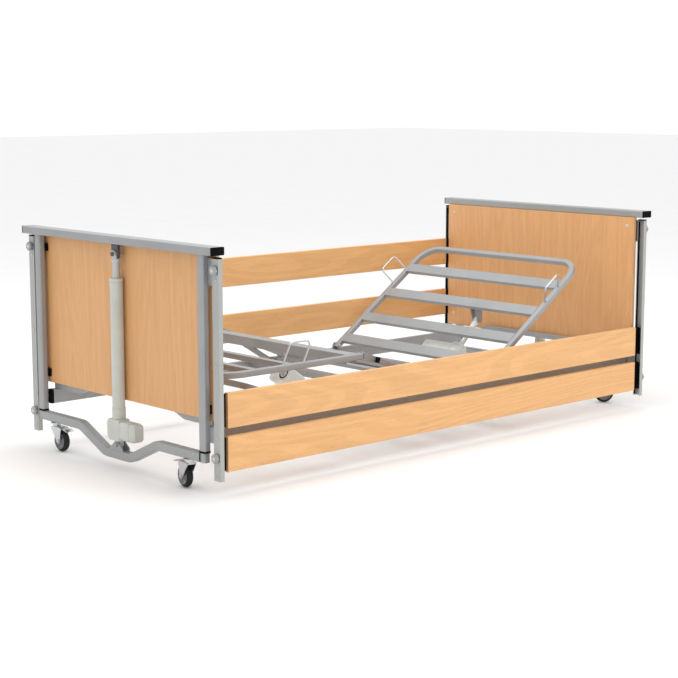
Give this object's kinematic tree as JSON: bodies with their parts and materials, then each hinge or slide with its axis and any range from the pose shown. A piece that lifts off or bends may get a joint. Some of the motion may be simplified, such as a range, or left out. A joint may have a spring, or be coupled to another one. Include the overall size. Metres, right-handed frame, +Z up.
{
  "type": "adjustable hospital bed",
  "caption": "Height-adjustable care bed with raised backrest and knee break, wooden end panels, sliding wooden side boards, lift actuators at both ends and braked castors",
  "frame": {"origin": "on the floor under the middle of the bed", "axes": "X runs from the foot end (-X) to the head end (+X), Y runs across the bed with the lowered side boards at -Y, Z is up"},
  "size_m": [2.122, 1.04, 0.758],
  "materials": {
    "frame_paint": "silver-grey powder coat",
    "channel_aluminium": "pale anodised",
    "end_panel_beech": "beech-look laminate, grain upright",
    "board_beech": "beech-look laminate, grain along the board",
    "black_plastic": "moulded, fine texture",
    "drive_plastic": "light grey moulded housing",
    "bright_steel": "zinc-plated pressed steel",
    "castor_tyre": "dark grey rubber on a grey hub",
    "knob_plastic": "pale moulded grip"
  },
  "bodies": {
    "foot_base": {"foot_cross_tube": "frame_paint", "foot_inner_legs": "frame_paint", "foot_lift_housing": "drive_plastic", "foot_lift_tube": "drive_plastic"},
    "head_base": {"head_cross_tube": "frame_paint", "head_inner_legs": "frame_paint", "head_lift_housing": "drive_plastic", "head_lift_tube": "drive_plastic"},
    "upper": {"foot_top_bar": "frame_paint", "head_top_bar": "frame_paint", "foot_panel": "end_panel_beech", "head_panel": "end_panel_beech", "outer_posts": "frame_paint", "plastic_fittings": "black_plastic", "rail_channels": "channel_aluminium", "rail_brackets": "frame_paint", "lift_brackets": "frame_paint", "foot_lift_rod": "bright_steel", "head_lift_rod": "bright_steel", "platform_rails": "frame_paint", "deck_members": "frame_paint"},
    "backrest": {"backrest_frame": "frame_paint", "backrest_slats": "frame_paint", "backrest_hoops": "frame_paint"},
    "thigh": {"thigh_frame": "frame_paint"},
    "calf": {"calf_frame": "frame_paint", "calf_hoops": "frame_paint"},
    "calf_bail": {"calf_bail": "frame_paint"},
    "backrest_motor": {"backrest_motor": "drive_plastic"},
    "backrest_rod": {"backrest_rod": "bright_steel"},
    "knee_motor": {"knee_motor": "drive_plastic"},
    "knee_rod": {"knee_rod": "bright_steel"},
    "near_upper_board": {"near_upper_board": "board_beech", "near_upper_guides": "black_plastic"},
    "near_lower_board": {"near_lower_board": "board_beech", "near_lower_guides": "black_plastic"},
    "far_upper_board": {"far_upper_board": "board_beech", "far_upper_guides": "black_plastic"},
    "far_lower_board": {"far_lower_board": "board_beech", "far_lower_guides": "black_plastic"},
    "knob_foot_near_upper": {"knob_foot_near_upper": "knob_plastic"},
    "knob_foot_near_lower": {"knob_foot_near_lower": "knob_plastic"},
    "knob_foot_far_upper": {"knob_foot_far_upper": "knob_plastic"},
    "knob_foot_far_lower": {"knob_foot_far_lower": "knob_plastic"},
    "knob_head_near_upper": {"knob_head_near_upper": "knob_plastic"},
    "knob_head_near_lower": {"knob_head_near_lower": "knob_plastic"},
    "knob_head_far_upper": {"knob_head_far_upper": "knob_plastic"},
    "knob_head_far_lower": {"knob_head_far_lower": "knob_plastic"},
    "castor_foot_near_fork": {"castor_foot_near_fork": "bright_steel"},
    "castor_foot_near_wheel": {"castor_foot_near_wheel": "castor_tyre"},
    "castor_foot_near_pedal": {"castor_foot_near_pedal": "bright_steel"},
    "castor_foot_far_fork": {"castor_foot_far_fork": "bright_steel"},
    "castor_foot_far_wheel": {"castor_foot_far_wheel": "castor_tyre"},
    "castor_foot_far_pedal": {"castor_foot_far_pedal": "bright_steel"},
    "castor_head_near_fork": {"castor_head_near_fork": "bright_steel"},
    "castor_head_near_wheel": {"castor_head_near_wheel": "castor_tyre"},
    "castor_head_near_pedal": {"castor_head_near_pedal": "bright_steel"},
    "castor_head_far_fork": {"castor_head_far_fork": "bright_steel"},
    "castor_head_far_wheel": {"castor_head_far_wheel": "castor_tyre"},
    "castor_head_far_pedal": {"castor_head_far_pedal": "bright_steel"}
  },
  "joints": [
    {"name": "foot_lift", "type": "slide", "parent": "foot_base", "child": "upper", "axis": [0, 0, 1], "range_m": [0, 0.4]},
    {"name": "head_lift", "type": "slide", "parent": "upper", "child": "head_base", "axis": [0, 0, 1], "range_m": [-0.4, 0]},
    {"name": "backrest_tilt", "type": "hinge", "parent": "upper", "child": "backrest", "pos_m": [0.285, 0, 0.214], "axis": [0, -1, 0], "range_deg": [-34.9, 30.1]},
    {"name": "backrest_motor_tilt", "type": "hinge", "parent": "upper", "child": "backrest_motor", "pos_m": [0.28, -0.09, 0.068], "axis": [0, -1, 0], "range_deg": [-26, 22.5]},
    {"name": "backrest_rod_tilt", "type": "hinge", "parent": "backrest", "child": "backrest_rod", "pos_m": [0.561, -0.09, 0.342], "axis": [0, -1, 0], "range_deg": [-8, 9.2]},
    {"name": "knee_raise", "type": "hinge", "parent": "upper", "child": "thigh", "pos_m": [0, 0, 0.213], "axis": [0, 1, 0], "range_deg": [-21.8, 13.2]},
    {"name": "calf_level", "type": "hinge", "parent": "thigh", "child": "calf", "pos_m": [-0.31791, 0, 0.34016], "axis": [0, 1, 0], "range_deg": [-13.3, 21.9]},
    {"name": "bail_tilt", "type": "hinge", "parent": "upper", "child": "calf_bail", "pos_m": [-0.493, 0, 0.166], "axis": [0, 1, 0], "range_deg": [-21.9, 13.3]},
    {"name": "knee_motor_tilt", "type": "hinge", "parent": "upper", "child": "knee_motor", "pos_m": [-0.15, 0, 0.1], "axis": [0, 1, 0], "range_deg": [-26.1, 15.8]},
    {"name": "knee_rod_tilt", "type": "hinge", "parent": "calf", "child": "knee_rod", "pos_m": [-0.385, 0, 0.262], "axis": [0, 1, 0], "range_deg": [-26.1, 15.8]},
    {"name": "near_upper_board_slide", "type": "slide", "parent": "upper", "child": "near_upper_board", "axis": [0, 0, 1], "range_m": [0, 0.273]},
    {"name": "near_lower_board_slide", "type": "slide", "parent": "upper", "child": "near_lower_board", "axis": [0, 0, 1], "range_m": [0, 0.1931]},
    {"name": "far_upper_board_slide", "type": "slide", "parent": "upper", "child": "far_upper_board", "axis": [0, 0, 1], "range_m": [-0.273, 0]},
    {"name": "far_lower_board_slide", "type": "slide", "parent": "upper", "child": "far_lower_board", "axis": [0, 0, 1], "range_m": [-0.1931, 0]},
    {"name": "knob_foot_near_upper_turn", "type": "hinge", "parent": "upper", "child": "knob_foot_near_upper", "pos_m": [-1.035, -0.505, 0.688], "axis": [-1, 0, 0], "continuous": true},
    {"name": "knob_foot_near_lower_turn", "type": "hinge", "parent": "upper", "child": "knob_foot_near_lower", "pos_m": [-1.035, -0.505, 0.118], "axis": [-1, 0, 0], "continuous": true},
    {"name": "knob_foot_far_upper_turn", "type": "hinge", "parent": "upper", "child": "knob_foot_far_upper", "pos_m": [-1.035, 0.505, 0.688], "axis": [-1, 0, 0], "continuous": true},
    {"name": "knob_foot_far_lower_turn", "type": "hinge", "parent": "upper", "child": "knob_foot_far_lower", "pos_m": [-1.035, 0.505, 0.118], "axis": [-1, 0, 0], "continuous": true},
    {"name": "knob_head_near_upper_turn", "type": "hinge", "parent": "upper", "child": "knob_head_near_upper", "pos_m": [1.035, -0.505, 0.688], "axis": [1, 0, 0], "continuous": true},
    {"name": "knob_head_near_lower_turn", "type": "hinge", "parent": "upper", "child": "knob_head_near_lower", "pos_m": [1.035, -0.505, 0.118], "axis": [1, 0, 0], "continuous": true},
    {"name": "knob_head_far_upper_turn", "type": "hinge", "parent": "upper", "child": "knob_head_far_upper", "pos_m": [1.035, 0.505, 0.688], "axis": [1, 0, 0], "continuous": true},
    {"name": "knob_head_far_lower_turn", "type": "hinge", "parent": "upper", "child": "knob_head_far_lower", "pos_m": [1.035, 0.505, 0.118], "axis": [1, 0, 0], "continuous": true},
    {"name": "castor_foot_near_swivel", "type": "hinge", "parent": "foot_base", "child": "castor_foot_near_fork", "pos_m": [-1.037, -0.372, 0.05], "axis": [0, 0, 1], "continuous": true},
    {"name": "castor_foot_near_roll", "type": "hinge", "parent": "castor_foot_near_fork", "child": "castor_foot_near_wheel", "pos_m": [-1.03231, -0.34237, 0.0375], "axis": [0.9877, -0.1564, 0], "continuous": true},
    {"name": "castor_foot_near_brake", "type": "hinge", "parent": "castor_foot_near_fork", "child": "castor_foot_near_pedal", "pos_m": [-1.03043, -0.33052, 0.08], "axis": [0.9877, -0.1564, 0], "range_deg": [-10, 0]},
    {"name": "castor_foot_far_swivel", "type": "hinge", "parent": "foot_base", "child": "castor_foot_far_fork", "pos_m": [-1.037, 0.372, 0.05], "axis": [0, 0, 1], "continuous": true},
    {"name": "castor_foot_far_roll", "type": "hinge", "parent": "castor_foot_far_fork", "child": "castor_foot_far_wheel", "pos_m": [-1.037, 0.342, 0.0375], "axis": [-1, 0, 0], "continuous": true},
    {"name": "castor_foot_far_brake", "type": "hinge", "parent": "castor_foot_far_fork", "child": "castor_foot_far_pedal", "pos_m": [-1.037, 0.33, 0.08], "axis": [-1, 0, 0], "range_deg": [-10, 0]},
    {"name": "castor_head_near_swivel", "type": "hinge", "parent": "head_base", "child": "castor_head_near_fork", "pos_m": [1.037, -0.372, 0.05], "axis": [0, 0, 1], "continuous": true},
    {"name": "castor_head_near_roll", "type": "hinge", "parent": "castor_head_near_fork", "child": "castor_head_near_wheel", "pos_m": [1.01402, -0.35272, 0.0375], "axis": [0.6428, 0.766, 0], "continuous": true},
    {"name": "castor_head_near_brake", "type": "hinge", "parent": "castor_head_near_fork", "child": "castor_head_near_pedal", "pos_m": [1.00483, -0.345, 0.08], "axis": [0.6428, 0.766, 0], "range_deg": [-10, 0]},
    {"name": "castor_head_far_swivel", "type": "hinge", "parent": "head_base", "child": "castor_head_far_fork", "pos_m": [1.037, 0.372, 0.05], "axis": [0, 0, 1], "continuous": true},
    {"name": "castor_head_far_roll", "type": "hinge", "parent": "castor_head_far_fork", "child": "castor_head_far_wheel", "pos_m": [1.01102, 0.357, 0.0375], "axis": [-0.5, 0.866, 0], "continuous": true},
    {"name": "castor_head_far_brake", "type": "hinge", "parent": "castor_head_far_fork", "child": "castor_head_far_pedal", "pos_m": [1.00063, 0.351, 0.08], "axis": [-0.5, 0.866, 0], "range_deg": [-10, 0]}
  ],
  "couplings": [
    {"joint": "head_lift", "follows": "foot_lift", "ratio": -1},
    {"joint": "backrest_motor_tilt", "follows": "backrest_tilt", "ratio": 0.74},
    {"joint": "backrest_rod_tilt", "follows": "backrest_tilt", "ratio": -0.26},
    {"joint": "calf_level", "follows": "knee_raise", "ratio": -1},
    {"joint": "bail_tilt", "follows": "knee_raise", "ratio": 1},
    {"joint": "knee_motor_tilt", "follows": "knee_raise", "ratio": 1.19},
    {"joint": "knee_rod_tilt", "follows": "knee_raise", "ratio": 1.19},
    {"joint": "near_lower_board_slide", "follows": "near_upper_board_slide", "ratio": 0.70696},
    {"joint": "far_lower_board_slide", "follows": "far_upper_board_slide", "ratio": 0.70696}
  ]
}
